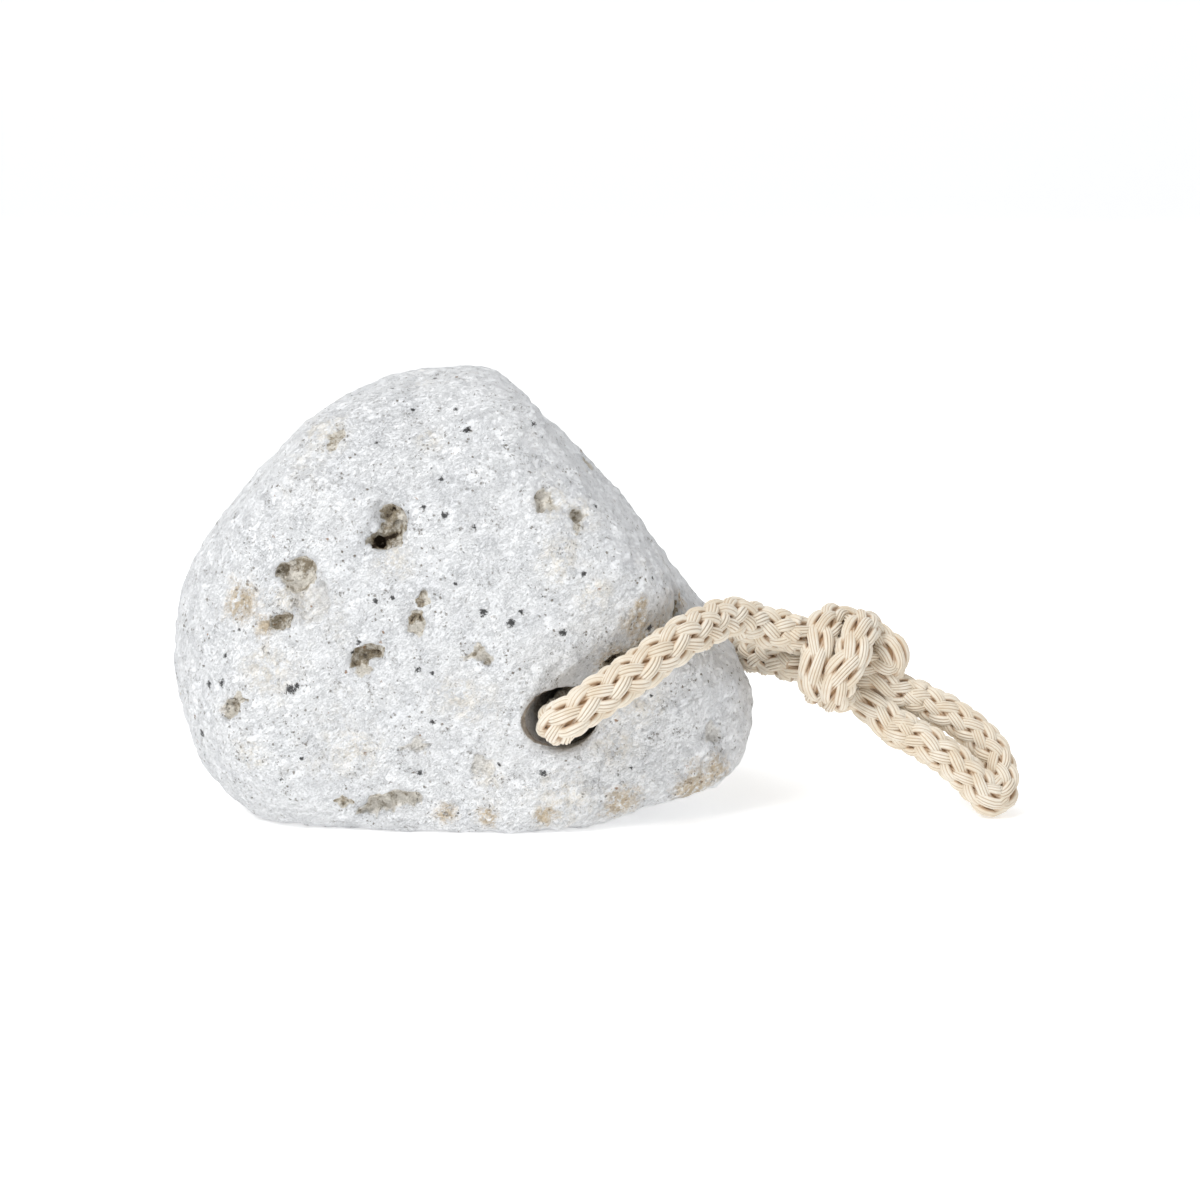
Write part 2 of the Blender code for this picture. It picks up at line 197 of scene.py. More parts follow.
def strand_section():
    """Outline of a band one wide: four round yarns on top, a plain rounded underside."""
    across, up, groove = [], [], []
    for number in range(YARN_POINTS * YARNS + 1):
        share = number / (YARN_POINTS * YARNS)
        ridge = abs(math.sin(math.pi * number / YARN_POINTS)) ** YARN_FULLNESS
        across.append(share - 0.5)
        up.append(CROWN * (1 - (2 * share - 1) ** 2) + YARN_HEIGHT * ridge)
        # groove is 0 on a yarn's crest, 1 down in a groove and 1 on the underside: the cotton's
        # painted shade follows it
        groove.append(1.0 - ridge)
    for share in UNDERSIDE:
        across.append(share - 0.5)
        up.append(-BELLY * (1 - (2 * share - 1) ** 4) - EDGE_DROP)
        groove.append(1.0)
    return np.array(across), np.array(up), np.array(groove)


SECTION = strand_section()
print("a strand's outline has", len(SECTION[0]), "points")

# %% One strand of the braid
STRANDS_EACH_WAY = 6
TURN_LENGTH = 5.2  # of a strand round the cord, in diameters of the cord
MIDDLE_RADIUS = 0.355  # of the strands, as a share of the cord's diameter
WAVE = 0.052  # in and out of that radius, as a share of the diameter
SNAP = 1.6  # how quickly a strand goes from over to under
BAND_WIDTH = 0.335  # as a share of the diameter
BAND_BASE = 0.90  # of that width, half way from over to under
BAND_SPREAD = 0.10  # how much wider a strand is where it is on top
BAND_WANDER = 0.17  # how much its width varies by chance
LAG = 0.09  # how much straighter a strand runs where it is on top
WANDER, WANDER_SIZE = 0.018, 2.6  # how far it wanders out, in diameters; over how many mm
STRAY, STRAY_SIZE = 0.18, 4.3  # how far it strays aside, in columns; over how many mm
NOISE_APART = (7.3, 3.1)  # between strands, and between the two ways
RING_STEP = 0.5 * MM


def strand_rings(line, sides, ups, diameter, turn_length, way, number):
    """Corner points of one strand's rings, and each corner's groove and depth."""
    length = route_length(line)
    count = max(8, round(length / RING_STEP))
    along = np.linspace(0, length, count + 1)
    place = np.linspace(0, len(line) - 1, count + 1)
    middle, side, up = (read_at(place, np.arange(len(line)), values)
                        for values in (line, sides, ups))
    crossings = 2 * STRANDS_EACH_WAY
    column = way * along / (turn_length * diameter) * crossings + 2 * number
    phase = column + (0 if way > 0 else 1)
    on_top = np.cos(math.pi * phase)
    own = (NOISE_APART[0] * number, NOISE_APART[1] * way)
    wander, stray = (np.array([noise.noise(Vector((step / (size * MM), *own))) for step in along])
                     for size in (WANDER_SIZE, STRAY_SIZE))
    column = column - LAG * np.sin(math.pi * phase) + STRAY * stray
    angle = column * 2 * math.pi / crossings
    swell = np.tanh(SNAP * on_top) / math.tanh(SNAP)
    radius = diameter * (MIDDLE_RADIUS + WAVE * swell + WANDER * wander)
    outward = unit(side) * np.cos(angle)[:, None] + unit(up) * np.sin(angle)[:, None]
    centre = middle + outward * radius[:, None]
    ahead = unit(np.gradient(centre, axis=0))
    across = unit(np.cross(ahead, outward))
    out = np.cross(across, ahead)
    width = diameter * BAND_WIDTH * (BAND_BASE + BAND_SPREAD * on_top + BAND_WANDER * wander)
    section_across, section_up, groove = SECTION
    rings = (centre[:, None] + across[:, None] * np.outer(width, section_across)[:, :, None]
             + out[:, None] * np.outer(width, section_up)[:, :, None])
    grooves = np.repeat(groove[None], count + 1, axis=0)
    # depth is 1 where the strand passes under its neighbours: the cotton's painted shade follows
    # it too
    depths = np.repeat((0.5 - 0.5 * swell)[:, None], len(groove), axis=1)
    return rings, grooves, depths


# %% Closed tubes from rings of corners
GROUND_GAP = 0.02 * MM


def store_values(mesh, kind, values):
    """Keep one number for each point of a mesh under a name."""
    store = mesh.attributes.new(kind, 'FLOAT', 'POINT')
    store.data.foreach_set("value", values.astype(np.float32))


class Bundle:
    """Collects closed tubes, and makes one mesh of them."""

    def __init__(self):
        self.points, self.faces, self.values = [], [], []

    def add_tube(self, rings, grooves, depths):
        start = sum(len(points) for points in self.points)
        count, sides = rings.shape[:2]
        self.points.append(rings.reshape(-1, 3))
        self.values.append(np.stack((grooves.ravel(), depths.ravel()), axis=1))
        for ring in range(count - 1):
            first = start + ring * sides
            for corner in range(sides):
                after = (corner + 1) % sides
                self.faces.append((first + corner, first + after,
                                   first + sides + after, first + sides + corner))
        self.faces.append(tuple(start + corner for corner in reversed(range(sides))))
        self.faces.append(tuple(start + (count - 1) * sides + corner for corner in range(sides)))

    def make(self, name):
        mesh = bpy.data.meshes.new(name)
        points = np.concatenate(self.points)
        points[:, 2] = np.maximum(points[:, 2], GROUND_GAP)
        mesh.from_pydata(points.tolist(), [], self.faces)
        values = np.concatenate(self.values)
        # groove and depth place the cotton's painted shade
        store_values(mesh, "groove", values[:, 0])
        store_values(mesh, "depth", values[:, 1])
        mesh.shade_smooth()
        piece = bpy.data.objects.new(name, mesh)
        scene.collection.objects.link(piece)
        return piece


def triangles(piece):
    return sum(len(polygon.vertices) - 2 for polygon in piece.data.polygons)


# %% The whole braid along a line
CORE_SIDES = 10
CORE_RADIUS = 0.33  # as a share of the diameter
CORE_STEP = 4  # points of the line from one ring to the next


def plain_tube(line, radii, sides):
    """Rings of a round tube along a line."""
    side, up = carried_sides(line)
    turn = np.arange(sides) / sides * 2 * math.pi
    outward = side[:, None] * np.cos(turn)[:, None] + up[:, None] * np.sin(turn)[:, None]
    return line[:, None] + outward * radii[:, None, None]


def braid(bundle, route, diameter, turn_length):
    """Twelve strands round a plain core, added to the bundle."""
    line = smooth_route(route, LINE_STEP)
    side, up = carried_sides(line)
    for way in (1, -1):
        for number in range(STRANDS_EACH_WAY):
            rings = strand_rings(line, side, up, diameter, turn_length, way, number)
            bundle.add_tube(*rings)
    core = line[::CORE_STEP]
    if (len(line) - 1) % CORE_STEP:
        core = np.concatenate((core, line[-1:]))
    rings = plain_tube(core, np.full(len(core), CORE_RADIUS * diameter), CORE_SIDES)
    # The core's groove and depth are 1 all over: it takes the cotton's full painted shade, seen
    # through the gaps.
    full = np.ones(rings.shape[:2])
    bundle.add_tube(rings, full, full)
    return line


# %% [markdown]
# Cotton is never clean-edged: short fibres stand out of every yarn. Each is a thin curved tube
# here, rooted in the braid, a millimetre or two long and as fine as a hair.

# %% Loose fibres
FIBRE_RADIUS = 0.022 * MM
FIBRE_STEPS = 6
FIBRE_SIDES = 3
FIBRE_ROOT = 0.42  # from the middle line, as a share of the diameter
FIBRE_OUT = (0.2, 0.9)  # least and most lean outward
FIBRE_ASIDE = 0.8  # lean round the cord, next to 1 along it
FIBRE_CURL = 0.35
FIBRE_REACH = (0.8, 1.8)  # mm
FIBRE_TIP = 0.5  # as a share of the radius at the root


def add_fibres(bundle, line, diameter, count, seed):
    """Fine curved hairs that stand out of the cord along a line."""
    draw = np.random.default_rng(seed)
    side, up = carried_sides(line)
    for _ in range(count):
        place = draw.integers(len(line))
        angle = draw.uniform(0, 2 * math.pi)
        outward = side[place] * math.cos(angle) + up[place] * math.sin(angle)
        ahead = np.cross(side[place], up[place])
        root = line[place] + outward * diameter * FIBRE_ROOT
        lean = unit(outward * draw.uniform(*FIBRE_OUT) + ahead * draw.normal(0, 1)
                    + np.cross(ahead, outward) * draw.normal(0, FIBRE_ASIDE))
        curl = draw.uniform(-FIBRE_CURL, FIBRE_CURL, 3)
        reach = draw.uniform(*FIBRE_REACH) * MM
        steps = np.linspace(0, 1, FIBRE_STEPS)[:, None]
        hair = root + lean * reach * steps + curl * reach * steps ** 2
        radii = FIBRE_RADIUS * np.linspace(1, FIBRE_TIP, FIBRE_STEPS)
        rings = plain_tube(hair, radii, FIBRE_SIDES)
        none = np.zeros(rings.shape[:2])
        bundle.add_tube(rings, none, none)


# %% Make the cords
CORD_DIAMETER = 6.0 * MM
LOOP_DIAMETER = 5.4 * MM  # the loop and the knot are pulled thinner
KNOT_TURN_LENGTH = 6.6  # pulled tight, the braid is longer too


def make_cord(name, routes, diameter, turn_length, fibres, seed):
    """A piece with a braid and loose fibres along each route, and its last middle line."""
    bundle = Bundle()
    for number, route in enumerate(routes):
        line = braid(bundle, route, diameter, turn_length)
        add_fibres(bundle, line, diameter, fibres, seed + number)
    piece = bundle.make(name)
    print(name, "has", triangles(piece), "triangles")
    return piece, line


# Each run of the knot reaches one point into the cords that go on from it, so no seam shows.
knot_ends = [(THROUGH_ROUTE[1], LOOP_ROUTE[1]), (THROUGH_ROUTE[-2], LOOP_ROUTE[-2])]
knot_routes = [[first, *route, last] for route, (first, last) in zip(KNOT_ROUTES, knot_ends)]
cord_through, through_line = make_cord("braid_through_stone", [THROUGH_ROUTE], CORD_DIAMETER,
                                       TURN_LENGTH, fibres=260, seed=4)
cord_loop, loop_line = make_cord("braid_hanging_loop", [LOOP_ROUTE], LOOP_DIAMETER,
                                 TURN_LENGTH, fibres=110, seed=5)
knot, _ = make_cord("braid_knot", knot_routes, LOOP_DIAMETER, KNOT_TURN_LENGTH, fibres=90, seed=6)

# %% Put the cords on the root body, in place of their solids
for piece, node in ((cord_through, "cord_through_stone"), (cord_loop, "cord_hanging_loop"),
                    (knot, "cord_knot")):
    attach(piece, "root")
    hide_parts(node)

# %% [markdown]
# ## The stone's surface
#
# The solid of the stone has its form, its broken pits and its drilled hole, in flat faces about
# two millimetres wide. The real surface is finer: softly worn outside, raw and granular inside
# the pits. A copy of the solid is remeshed into small even faces and smoothed. Its egg-shaped
# hollows are filled level with the ground round them, and the pits are broken out again with
# their own ragged outlines and steep walls. Then the mesh is made even once more, the points
# nearest the rims of the drilled hole are moved onto them, and noise roughens the mesh.

# %% A dense, smooth copy of the solid
ROUGHING_GRAIN = 0.60 * MM
FINE_GRAIN = 0.495 * MM
SAME_PLACE = 0.001 * MM


def pick(piece):
    """Select one object, and make it the active one."""
    bpy.ops.object.select_all(action='DESELECT')
    piece.select_set(True)
    bpy.context.view_layer.objects.active = piece


def apply_modifier(piece, kind, **settings):
    pick(piece)
    modifier = piece.modifiers.new(kind.lower(), kind)
    for name, value in settings.items():
        setattr(modifier, name, value)
    bpy.ops.object.modifier_apply(modifier=modifier.name)


def corners(piece):
    """The mesh's points as an array."""
    found = np.empty(len(piece.data.vertices) * 3, np.float32)
    piece.data.vertices.foreach_get("co", found)
    return found.reshape(-1, 3).astype(float)


def set_corners(piece, points):
    piece.data.vertices.foreach_set("co", points.astype(np.float32).ravel())
    piece.data.update()


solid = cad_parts["pumice_stone"]
stone = bpy.data.objects.new("pumice_surface", solid.data.copy())
stone.data.materials.clear()
scene.collection.objects.link(stone)
pick(stone)
bpy.ops.object.mode_set(mode='EDIT')
bpy.ops.mesh.select_all(action='SELECT')
bpy.ops.mesh.remove_doubles(threshold=SAME_PLACE)
bpy.ops.object.mode_set(mode='OBJECT')
skin = BVHTree.FromObject(stone, bpy.context.evaluated_depsgraph_get())
apply_modifier(stone, 'REMESH', mode='VOXEL', voxel_size=ROUGHING_GRAIN)
apply_modifier(stone, 'SMOOTH', factor=0.5, iterations=5)
print("roughed out with", len(stone.data.vertices), "points")

# %% The ground round a pit
STONE_MIDDLE = Vector((0.0, 0.0, 32.0)) * MM
FAR = 200 * MM  # well outside the stone
RING = 1.35  # the ground is felt this many half widths out
RING_POINTS = 8


def facing(compass, rise):
    """Unit vector for a compass angle and an angle above level, in degrees."""
    level = math.cos(math.radians(rise))
    return Vector((level * math.cos(math.radians(compass)),
                   level * math.sin(math.radians(compass)),
                   math.sin(math.radians(rise))))


def ground_frame(compass, rise, half):
    """Middle, side, up and outward directions of the ground round a pit half its width in mm."""
    direction = facing(compass, rise)
    side = Vector((0, 0, 1)).cross(direction).normalized()
    up = direction.cross(side)
    around = []
    for step in range(RING_POINTS):
        turn = step * 2 * math.pi / RING_POINTS
        aside = (side * math.cos(turn) + up * math.sin(turn)) * half * RING * MM
        around.append(skin.ray_cast(STONE_MIDDLE + direction * FAR + aside, -direction)[0])
    middle = sum(around, Vector()) / len(around)
    outward = Vector()
    for first, second in zip(around, around[1:] + around[:1]):
        outward += (first - middle).cross(second - middle)
    outward.normalize()
    side = Vector((0, 0, 1)).cross(outward).normalized()
    return [np.array(vector) for vector in (middle, side, outward.cross(side), outward)]


def seen_in(ground, points):
    """How far points lie across, up and outward from a pit's middle, in mm."""
    apart = (points - ground[0]) / MM
    return apart @ ground[1], apart @ ground[2], apart @ ground[3]


def smooth_step(low, high, values):
    t = np.clip((values - low) / (high - low), 0, 1)
    return t * t * (3 - 2 * t)


# %% Fill the solid's hollows
# (compass from +X towards +Y, rise above level, width, height, depth in mm, turn)
FRONT_HOLLOWS = [
    (248, 35, 5.2, 5.0, 3.4, 20),  # upper lobe of the deepest pit
    (246, 28, 5.8, 5.4, 4.4, -30),  # its lower lobe
    (224, 13, 7.4, 5.4, 2.6, 0),  # wide shallow pit
    (226, 6, 6.0, 4.6, 1.5, 30),  # broken ground under it
    (221, 1, 4.4, 3.0, 2.2, 10),
    (242, -9, 6.0, 4.4, 2.8, 25),  # oblong pit
    (258, 9, 3.4, 3.6, 2.0, 0),  # cracked pit in two steps
    (257, 3, 3.0, 4.2, 2.0, 10),
    (277, -9, 4.4, 3.0, 1.3, -30),
    (211, -18, 3.6, 4.2, 1.6, 0),  # pit with a glassy crystal
    (243, -51, 9.5, 3.2, 1.8, 0),  # long hollow over the foot
    (227, -47, 3.0, 2.6, 1.4, 0),
    (301, 34, 5.4, 4.6, 1.8, 0),  # two pits by the slope's edge
    (309, 30, 3.4, 5.2, 2.2, 20),
    (343, -25, 3.6, 3.6, 1.6, 0),  # dimple in the nose
    (333, 1, 3.4, 3.6, 2.8, 30),  # dark pits over the cord
    (318, -8, 3.4, 2.8, 2.2, 20),
    (321, 0, 4.6, 6.4, 1.3, -20),  # stained hollow
    (220, 49, 2.6, 4.2, 1.2, -20),
    (281, -45, 4.2, 3.0, 1.0, 0),
    (254, -38, 4.4, 2.2, 0.9, -10),
]
# the same, and how dark each is inside: partly the raw glass's tone, partly painted shade, fullest
# in the pit's inner part
OTHER_HOLLOWS = [
    (20, 44, 5.0, 3.6, 2.0, 10, 0.45),  # slope
    (352, 56, 3.4, 3.0, 1.6, 0, 0.4),
    (75, 22, 6.4, 4.8, 3.0, 20, 0.7),  # back
    (98, -12, 8.0, 5.0, 2.4, -15, 0.6),
    (112, 30, 4.2, 5.6, 2.8, 30, 0.8),
    (128, -6, 5.4, 3.8, 2.2, 0, 0.5),
    (84, 50, 5.0, 3.4, 1.6, 0, 0.3),
    (62, -20, 4.0, 3.4, 1.8, 0, 0.5),
    (104, 8, 3.0, 2.6, 1.6, 0, 0.7),
    (158, 18, 5.6, 4.0, 2.4, -25, 0.7),  # left end
    (186, -18, 4.0, 3.2, 1.8, 0, 0.5),
    (170, 52, 4.4, 3.2, 1.6, 15, 0.4),
    (8, -22, 3.6, 3.0, 1.6, 0, 0.4),  # end of the nose
]
GROUND_RADIUS = 40.0  # mm: how strongly the stone bulges, on the whole
FILL_DEPTH = 1.5  # points lower than this many depths aren't the hollow's
FILL_FULL = 1.12  # it is filled whole as far as this many half widths out


def turned_share(across, over, width, height, turn):
    """Share of the way from the middle of a turned ellipse to its edge."""
    along = across * math.cos(math.radians(turn)) + over * math.sin(math.radians(turn))
    lifted = over * math.cos(math.radians(turn)) - across * math.sin(math.radians(turn))
    return np.hypot(along / (width / 2), lifted / (height / 2))


def bulge(across, over, half):
    """How far the whole ground stands out inside a ring round a pit, in mm."""
    return ((half * RING) ** 2 - across ** 2 - over ** 2) / (2 * GROUND_RADIUS)


points = corners(stone)
hollows = FRONT_HOLLOWS + [row[:-1] for row in OTHER_HOLLOWS]
for compass, rise, width, height, depth, turn in hollows:
    half = max(width, height) / 2
    ground = ground_frame(compass, rise, half)
    across, over, out = seen_in(ground, points)
    share = turned_share(across, over, width, height, turn)
    short = bulge(across, over, half) - out
    low = (share < RING) & (short > 0) & (out > -FILL_DEPTH * depth)
    lift = short * smooth_step(RING, FILL_FULL, share)
    points[low] += (lift[low] * MM)[:, None] * ground[3]
print(len(hollows), "hollows filled")

# %% Sharpen the rims of the drilled hole
DRILL_MOUTH = Vector((14.6, -22.3, 18.0)) * MM
DRILL_AXIS = facing(76.0, 2.0)
DRILL_RADIUS = 4.8  # mm
DRILL_ENDS = [(303, -28), (41, -20)]  # (compass, rise) of its mouth and of its way out
RIM_BAND = 1.8  # mm of ground round the hole that is levelled
RIM_FULL = 0.6  # share of that band that is levelled whole
RIM_DEPTH = 2.5  # mm: lower points belong to the hole
WALL_BAND = 1.0  # mm: points this far inside the radius go back to it
WALL_DEPTH = 4.0  # mm above and under the ground


def around_drill(points):
    """Distance from the hole's axis in mm, and the direction away from the axis."""
    apart = (points - np.array(DRILL_MOUTH)) / MM
    away = apart - (apart @ np.array(DRILL_AXIS))[:, None] * np.array(DRILL_AXIS)
    distance = np.linalg.norm(away, axis=1)
    return distance, away / np.maximum(distance, 0.001)[:, None]


def at_drill_end(compass, rise, points):
    """How far points stand out from one end's middle, how far short of its ground, its frame."""
    ground = ground_frame(compass, rise, DRILL_RADIUS)
    across, over, out = seen_in(ground, points)
    return out, bulge(across, over, DRILL_RADIUS) - out, ground


for end in DRILL_ENDS:
    out, short, ground = at_drill_end(*end, points)
    distance, away = around_drill(points)
    level = smooth_step(DRILL_RADIUS + RIM_BAND, DRILL_RADIUS + RIM_FULL * RIM_BAND, distance)
    rim = (distance > DRILL_RADIUS) & (short > 0) & (out > -RIM_DEPTH) & (level > 0)
    points[rim] += ((short * level)[rim] * MM)[:, None] * ground[3]
    wall = (distance <= DRILL_RADIUS) & (distance > DRILL_RADIUS - WALL_BAND)
    wall &= np.abs(out) < WALL_DEPTH
    points[wall] += ((DRILL_RADIUS - distance[wall]) * MM)[:, None] * away[wall]
print("the hole is", 2 * DRILL_RADIUS, "mm wide")

# %% Outlines of the pits
# Each outline goes round its pit, in mm across and up from the pit's middle.
BOOT = [(-0.5, 3), (1.5, 3), (2, 2), (3, 1), (2.5, -1), (1, -3), (-1, -3), (-2.5, -3.5),
        (-2.5, -1.5), (-1, 0.5), (-1, 2)]
BOOT_TOP = [(-0.5, 2.5), (0.5, 3), (1.5, 2.5), (1.5, 1), (0.5, 0), (-0.5, 0.5), (-1, 1.5)]
BOOT_GLASS = [(-2.5, -1), (-1, -0.5), (0, -0.5), (0, -1.5), (-1, -2), (-2.5, -2)]
BOOT_SLIT = [(-2.5, -3.5), (-2.5, -2), (-1, -1.5), (1.5, -1), (1, -1.5), (-0.5, -2.5)]
WIDE = [(-4.5, 0.5), (-3, 1.5), (-1, 2.5), (0.5, 3), (2, 1.5), (2.5, 0), (0.5, -1.5),
        (-1.5, -2), (-3, -2), (-3.5, -0.5)]
WIDE_SHADE = [(-3.5, 1), (-1, 2.5), (0.5, 3), (2, 1.5), (1, 1), (-1, 0.5), (-3, 0)]
UNDER_WIDE = [(-1.5, 2.5), (2, 3), (3, 0), (1.5, -2.5), (-1, -2), (-2.5, 0)]
CLUSTER = [(-2.5, 0.5), (-1, 1), (0.5, 1.5), (2, 0.5), (0.5, 0), (0.5, -0.5), (-1, -1), (-2, -0.5)]
OBLONG = [(-3, -0.5), (-1.5, 1), (-0.5, 1.5), (0.5, 2), (2, 1.5), (2, 0.5), (0.5, -0.5),
          (-1.5, -1.5), (-2.5, -1)]
OBLONG_SHELF = [(-0.5, 1), (0.5, 2), (2, 1.5), (2, 1), (1, 1)]
OBLONG_LEDGE = [(-2.5, -1.5), (-0.5, -1.5), (1, -1), (0.5, -2), (-1.5, -2.5)]
CRUST = [(-1, 1), (0, 1), (1, 1), (1.5, 0), (0.5, 0), (-0.5, -0.5)]
LENS = [(-1, 0), (0, 1), (0.5, 1), (1, 0), (1, -0.5), (0.5, -2), (-0.5, -2), (-1, -0.5)]
LENS_ARCH = [(-1, 0), (-0.5, 1), (0.5, 1), (1, 0), (1, -1), (0.5, 0), (0, 0.5)]
TRIANGLE = [(-2, -0.5), (0.5, 1.5), (1, 1), (2, 0), (1.5, -1.5), (0, -1)]
TRIANGLE_SHADE = [(-1.5, 0), (0.5, 1.5), (1, 1), (0, 0)]
CRYSTAL = [(-1, 1), (1.5, 2.5), (3.5, 2), (2, 0.5), (0, -1.5), (-1, -1)]
SLIPPER = [(-5.5, -3), (-3.5, 0), (0, 1), (4.5, 0.5), (4, -1), (1, -1.5), (-1, -2.5), (-4, -3.5)]
NICK = [(-1, 0.5), (0, 1.5), (1, 1), (1.5, 0), (0.5, -1.5), (-1, -0.5)]
SHELL = [(-2, 1.5), (-0.5, 2.5), (1, 1.5), (1, -0.5), (-0.5, -1.5), (-1.5, -1)]
EAR = [(-0.5, 1), (0.5, 1.5), (1.5, 0), (0.5, -0.5), (0.5, -1.5), (-0.5, -2), (-0.5, -0.5)]
DIMPLE = [(-2, 1), (-1, 2), (1, 1), (1.5, -0.5), (0.5, -1.5), (-1.5, -1)]
CLEFT = [(-1, -1), (0, 2), (2, 3), (4, 1), (4.5, -1.5), (3, -3), (0.5, -2.5)]
CRACK = [(-1.5, -3.5), (-1, -1.5), (0, -0.5), (2.5, 0.5), (4.5, 2.5), (5, 1), (2.5, -1.5),
         (-0.5, -2.5)]
DROP = [(-0.5, -2), (0, -0.5), (1, 0), (2, -0.5), (1.5, -1.5), (0.5, -2)]
CREASE = [(0, -2.5), (0, 0), (1, 1.5), (1.5, 0), (1, -2)]

# ((compass, rise, half its width in mm), [(depth in mm, how dark, outline)]): in one pit a
# later outline changes an earlier one, so a shelf or a slit comes after the pit itself
# How dark is partly the raw glass's own brown-grey and partly painted shade: the slit, arch, cleft
# and drop at 0.9 and over are painted shadow, nearly black, and the SHADE outlines paint shaded
# walls.
FRONT_PITS = [
    ((247, 31, 3.6), [(2.2, 0.34, BOOT), (3.0, 0.62, BOOT_TOP), (1.2, 0.26, BOOT_GLASS),
                      (3.6, 1.40, BOOT_SLIT)]),
    ((226, 6, 3.0), [(0.4, 0.05, UNDER_WIDE)]),
    ((224, 13, 3.7), [(1.5, 0.25, WIDE), (1.9, 0.40, WIDE_SHADE)]),
    ((221, 1, 2.6), [(1.2, 0.54, CLUSTER)]),
    ((242, -9, 3.0), [(1.9, 0.56, OBLONG), (1.0, 0.26, OBLONG_SHELF), (0.5, 0.16, OBLONG_LEDGE)]),
    ((258, 9, 1.8), [(0.5, 0.28, CRUST)]),
    ((257, 3, 2.1), [(1.0, 0.20, LENS), (1.5, 0.95, LENS_ARCH)]),
    ((277, -9, 2.2), [(0.7, 0.14, TRIANGLE), (1.1, 0.34, TRIANGLE_SHADE)]),
    ((211, -18, 2.1), [(0.9, 0.26, CRYSTAL)]),
    ((243, -51, 4.7), [(0.9, 0.14, SLIPPER)]),
    ((227, -47, 1.5), [(1.1, 0.34, NICK)]),
    ((302, 35, 2.7), [(0.9, 0.17, SHELL)]),
    ((310, 30, 2.6), [(1.6, 0.34, EAR)]),
    ((344, -25, 1.8), [(0.8, 0.08, DIMPLE)]),
    ((341, 0, 2.2), [(2.2, 0.90, CLEFT)]),
    ((319, -9, 2.4), [(0.8, 0.46, CRACK), (1.8, 1.10, DROP)]),
    ((220, 49, 2.1), [(0.7, 0.22, CREASE)]),
    ((281, -45, 2.1), [(0.6, 0.09, DIMPLE)]),
    ((254, -38, 2.2), [(0.6, 0.10, TRIANGLE)]),
]
OVAL_POINTS = 12
# the inner, deeper part of a pit is painted darker: painted shade in its depth
OUTER_DEPTH, OUTER_DARK = 0.55, 0.45  # of a plain pit, as shares of its hollow's
INNER_DEPTH = 0.90  # of the deeper part inside it, likewise
INNER_SIZE = (0.50, 0.45)  # as shares of the hollow's width and height
INNER_SHIFT = (-0.12, 0.14)  # from the hollow's middle, likewise


def oval(width, height, turn, across=0.0, over=0.0):
    """Points of a turned ellipse."""
    lean = math.radians(turn)
    found = []
    for step in range(OVAL_POINTS):
        angle = step * 2 * math.pi / OVAL_POINTS
        along, lifted = width / 2 * math.cos(angle), height / 2 * math.sin(angle)
        found.append((across + along * math.cos(lean) - lifted * math.sin(lean),
                      over + along * math.sin(lean) + lifted * math.cos(lean)))
    return found


pits = [(place, *form) for place, forms in FRONT_PITS for form in forms]
for compass, rise, width, height, depth, turn, darkness in OTHER_HOLLOWS:
    place = (compass, rise, max(width, height) / 2)
    pits.append((place, OUTER_DEPTH * depth, OUTER_DARK * darkness, oval(width, height, turn)))
    inner = oval(INNER_SIZE[0] * width, INNER_SIZE[1] * height, turn,
                 INNER_SHIFT[0] * width, INNER_SHIFT[1] * height)
    pits.append((place, INNER_DEPTH * depth, darkness, inner))
grounds = [ground_frame(*place) for place, *_ in pits]
print(len(pits), "outlines of pits and of the shelves in them")

# %% Break the pits out
WALL = 0.55  # mm from a pit's rim to its full depth
GROWTH = 0.30  # mm: the rims are broken back past their outlines
RAGGED = [(1.7, 0.70), (0.7, 0.55)]  # (size in mm, how far in mm) of the rim's wander
FLOOR_WAVES = [(2.0, 0.50), (0.9, 0.35)]  # (size in mm, share of the depth)
NOISE_STEP = 5.3  # from one pit's noise to the next one's
ASIDE, ABOVE = 1.0, 2.5  # mm: how far past a pit its points are looked for
RIM_CATCH = 0.28  # mm: points this near to a rim are moved onto it


def waves(sizes, across, over, number):
    """Sum of smooth noises in a pit's own plane, the same at every depth."""
    total = np.zeros(len(across))
    for size, height in sizes:
        total += [height * noise.noise(Vector((x / size, y / size, NOISE_STEP * number)))
                  for x, y in zip(across, over)]
    return total


def inside_by(outline, across, over):
    """How far places lie inside an outline in mm, below zero outside it."""
    nearest = np.full(len(across), np.inf)
    inside = np.zeros(len(across), bool)
    for (x, y), (next_x, next_y) in zip(outline, outline[1:] + outline[:1]):
        run, climb = next_x - x, next_y - y
        share = np.clip(((across - x) * run + (over - y) * climb) / (run ** 2 + climb ** 2), 0, 1)
        nearest = np.minimum(nearest, np.hypot(across - x - share * run, over - y - share * climb))
        if climb:
            crossed = (y > over) != (next_y > over)
            inside ^= crossed & (across < x + run * (over - y) / climb)
    return np.where(inside, nearest, -nearest)


def pit_shares(points, number):
    """The points near a pit, how much each belongs to it, and the pit's floor under each."""
    _, depth, _, outline = pits[number]
    across, over, out = seen_in(grounds[number], points)
    reach = ASIDE + max(math.hypot(x, y) for x, y in outline)
    near = np.nonzero((np.hypot(across, over) < reach) & (np.abs(out) < depth + ABOVE))[0]
    across, over, out = across[near], over[near], out[near]
    inside = inside_by(outline, across, over) + waves(RAGGED, across, over, number) + GROWTH
    floor = -depth * (1 + waves(FLOOR_WAVES, across, over, number + 0.5))
    return near, smooth_step(0, WALL, inside), floor - out


